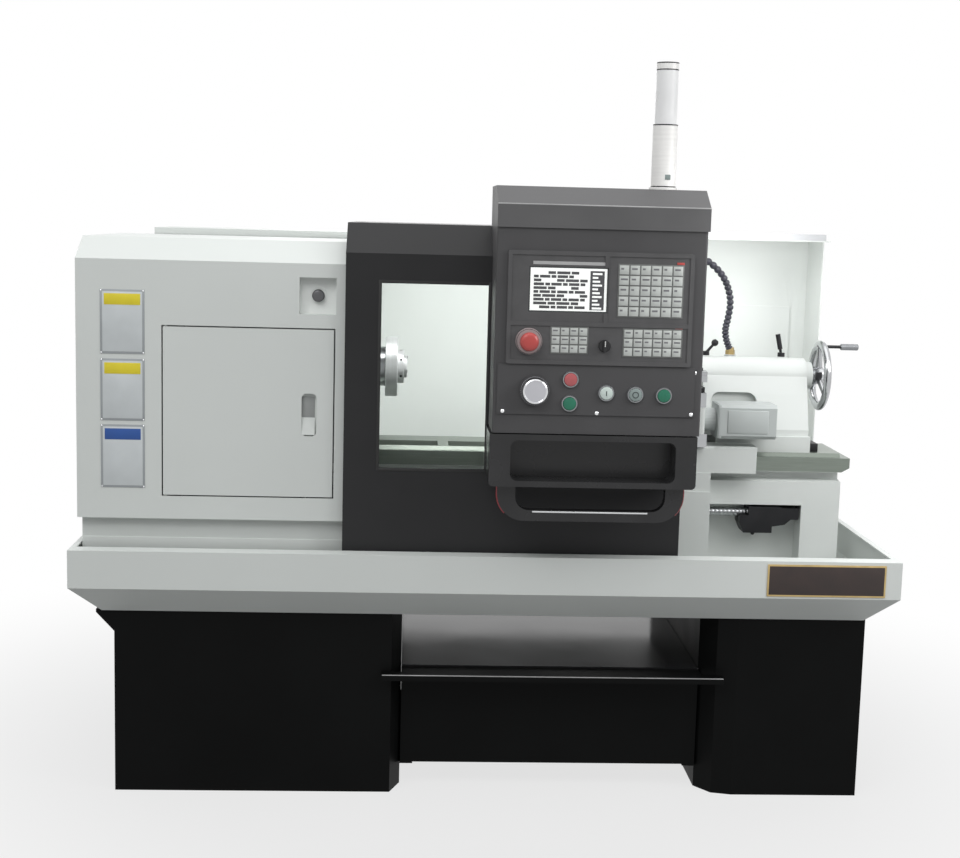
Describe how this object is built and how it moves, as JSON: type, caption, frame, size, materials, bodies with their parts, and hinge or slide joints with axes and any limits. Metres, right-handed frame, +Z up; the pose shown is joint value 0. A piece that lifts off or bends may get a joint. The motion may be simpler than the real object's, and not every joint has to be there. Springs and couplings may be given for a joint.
{
  "type": "cnc turning lathe",
  "caption": "Flat-bed turning lathe on two pedestals with a chip tray, covered headstock, sliding windowed guard with control pod, carriage with tool turret, and a manual tailstock.",
  "frame": {"origin": "on the floor under the middle of the machine", "axes": "+X from the headstock to the tailstock, +Y from the operator to the back, +Z up"},
  "size_m": [1.88, 1.09, 1.678],
  "materials": {
    "white_paint": "satin machine enamel, off-white",
    "black_paint": "satin textured enamel, black",
    "grey_paint": "matt powder coat, dark grey",
    "machined_steel": "ground and turned steel",
    "dark_steel": "blackened steel",
    "chromed_steel": "polished",
    "alloy": "satin",
    "motor_housing": "semi-gloss motor enamel",
    "belt_rubber": "matt",
    "pane": "clear safety pane",
    "lamp_plastic": "translucent white",
    "screen": "dark display glass",
    "unit_plastic": "moulded, dark grey",
    "key_film": "printed membrane, grey",
    "handle_plastic": "moulded, black",
    "red_plastic": "moulded, red",
    "green_plastic": "moulded, green",
    "white_plastic": "moulded, white",
    "grey_plastic": "moulded, grey",
    "hose_plastic": "jointed hose, dark",
    "equipment": "drive modules, grey"
  },
  "bodies": {
    "base": {"left_pedestal": "black_paint", "right_pedestal": "black_paint", "coolant_tank": "black_paint", "tank_lid": "black_paint", "chip_tray": "white_paint", "bed": "white_paint", "headstock_plinth": "white_paint", "headstock": "white_paint", "main_motor": "motor_housing", "drive_belt": "belt_rubber", "headstock_cover": "white_paint", "electrical_cabinet": "white_paint", "equipment_plate": "equipment", "rear_guard": "white_paint", "guard_rails": "machined_steel", "z_servo_motor": "motor_housing", "screw_bracket": "dark_steel"},
    "spindle": {"spindle": "machined_steel", "collet_chuck": "machined_steel"},
    "motor_pulley": {"motor_pulley": "dark_steel"},
    "headstock_door": {"headstock_door": "white_paint"},
    "shift_shaft": {"shift_shaft": "machined_steel"},
    "cabinet_door": {"cabinet_door": "white_paint"},
    "guard": {"guard_shell": "grey_paint", "guard_window": "pane", "control_pod": "grey_paint", "pod_visor": "grey_paint", "unit_frame": "unit_plastic", "lcd_screen": "screen", "keypads": "key_film", "switch_plate": "grey_paint", "pull_box": "handle_plastic", "door_handle": "handle_plastic", "lamp_base": "alloy", "lamp_lens": "lamp_plastic"},
    "estop_button": {"estop_button": "red_plastic"},
    "stop_button": {"stop_button": "red_plastic"},
    "start_button": {"start_button": "green_plastic"},
    "power_button": {"power_button": "white_plastic"},
    "hold_button": {"hold_button": "grey_plastic"},
    "cycle_button": {"cycle_button": "green_plastic"},
    "feed_selector": {"feed_selector": "handle_plastic"},
    "hand_dial": {"hand_dial": "alloy"},
    "carriage": {"saddle": "white_paint", "apron": "white_paint", "x_servo_motor": "motor_housing", "coolant_riser": "alloy", "coolant_hose": "hose_plastic"},
    "ballscrew": {"z_ballscrew": "machined_steel"},
    "cross_slide": {"cross_slide": "machined_steel", "turret_base": "white_paint", "turret_motor": "alloy"},
    "turret": {"turret_head": "machined_steel"},
    "tailstock": {"tailstock_body": "white_paint"},
    "quill": {"quill": "machined_steel"},
    "handwheel": {"tailstock_handwheel": "chromed_steel"},
    "crank_grip": {"crank_grip": "chromed_steel"},
    "lock_lever": {"quill_lock_lever": "dark_steel"},
    "clamp_lever": {"tailstock_clamp_lever": "dark_steel"}
  },
  "joints": [
    {"name": "guard_slide", "type": "slide", "parent": "base", "child": "guard", "axis": [1, 0, 0], "range_m": [0, 0.45]},
    {"name": "headstock_door_swing", "type": "hinge", "parent": "base", "child": "headstock_door", "pos_m": [-0.735, -0.335, 0.886], "axis": [0, 0, -1], "range_deg": [0, 95]},
    {"name": "spindle_spin", "type": "hinge", "parent": "base", "child": "spindle", "pos_m": [-0.5, 0.005, 0.964], "axis": [1, 0, 0], "continuous": true},
    {"name": "motor_pulley_spin", "type": "hinge", "parent": "base", "child": "motor_pulley", "pos_m": [-0.762, -0.23, 0.749], "axis": [1, 0, 0], "continuous": true},
    {"name": "gear_shift_turn", "type": "hinge", "parent": "base", "child": "shift_shaft", "pos_m": [-0.397, -0.2, 1.151], "axis": [0, -1, 0], "range_deg": [-60, 60]},
    {"name": "cabinet_door_swing", "type": "hinge", "parent": "base", "child": "cabinet_door", "pos_m": [-0.852, 0.537, 0.9645], "axis": [0, 0, 1], "range_deg": [0, 110]},
    {"name": "carriage_slide", "type": "slide", "parent": "base", "child": "carriage", "axis": [1, 0, 0], "range_m": [-0.45, 0]},
    {"name": "ballscrew_spin", "type": "hinge", "parent": "base", "child": "ballscrew", "pos_m": [0.2, -0.097, 0.634], "axis": [1, 0, 0], "continuous": true},
    {"name": "cross_slide_travel", "type": "slide", "parent": "carriage", "child": "cross_slide", "axis": [0, 1, 0], "range_m": [-0.1, 0.015]},
    {"name": "turret_index", "type": "hinge", "parent": "cross_slide", "child": "turret", "pos_m": [0.4475, -0.115, 0.94], "axis": [0, 0, 1], "continuous": true},
    {"name": "tailstock_slide", "type": "slide", "parent": "base", "child": "tailstock", "axis": [1, 0, 0], "range_m": [0, 0.07]},
    {"name": "handwheel_turn", "type": "hinge", "parent": "tailstock", "child": "handwheel", "pos_m": [0.83, 0.005, 0.964], "axis": [-1, 0, 0], "range_deg": [0, 7200]},
    {"name": "quill_slide", "type": "slide", "parent": "tailstock", "child": "quill", "axis": [-1, 0, 0], "range_m": [0, 0.1]},
    {"name": "crank_grip_spin", "type": "hinge", "parent": "handwheel", "child": "crank_grip", "pos_m": [0.9093, 0.005, 1.03662], "axis": [1, 0, 0], "continuous": true},
    {"name": "quill_lock", "type": "hinge", "parent": "tailstock", "child": "lock_lever", "pos_m": [0.738, 0.005, 1.014], "axis": [0, 0, 1], "range_deg": [-60, 60]},
    {"name": "tailstock_clamp", "type": "hinge", "parent": "tailstock", "child": "clamp_lever", "pos_m": [0.548, 0.005, 1.014], "axis": [0, 0, 1], "range_deg": [-60, 60]},
    {"name": "hand_dial_turn", "type": "hinge", "parent": "guard", "child": "hand_dial", "pos_m": [0.079, -0.53, 0.969], "axis": [0, -1, 0], "continuous": true},
    {"name": "feed_selector_turn", "type": "hinge", "parent": "guard", "child": "feed_selector", "pos_m": [0.226, -0.52, 1.068], "axis": [0, -1, 0], "range_deg": [-135, 135]},
    {"name": "estop_press", "type": "slide", "parent": "guard", "child": "estop_button", "axis": [0, 1, 0], "range_m": [0, 0.004], "stiffness_N_per_m": 400},
    {"name": "stop_press", "type": "slide", "parent": "guard", "child": "stop_button", "axis": [0, 1, 0], "range_m": [0, 0.003], "stiffness_N_per_m": 300},
    {"name": "start_press", "type": "slide", "parent": "guard", "child": "start_button", "axis": [0, 1, 0], "range_m": [0, 0.003], "stiffness_N_per_m": 300},
    {"name": "power_press", "type": "slide", "parent": "guard", "child": "power_button", "axis": [0, 1, 0], "range_m": [0, 0.003], "stiffness_N_per_m": 300},
    {"name": "hold_press", "type": "slide", "parent": "guard", "child": "hold_button", "axis": [0, 1, 0], "range_m": [0, 0.003], "stiffness_N_per_m": 300},
    {"name": "cycle_press", "type": "slide", "parent": "guard", "child": "cycle_button", "axis": [0, 1, 0], "range_m": [0, 0.003], "stiffness_N_per_m": 300}
  ],
  "couplings": [
    {"joint": "motor_pulley_spin", "follows": "spindle_spin", "ratio": 1.5385},
    {"joint": "ballscrew_spin", "follows": "carriage_slide", "rad_per_m": 1047.2},
    {"joint": "quill_slide", "follows": "handwheel_turn", "m_per_rad": 0.00079577}
  ]
}
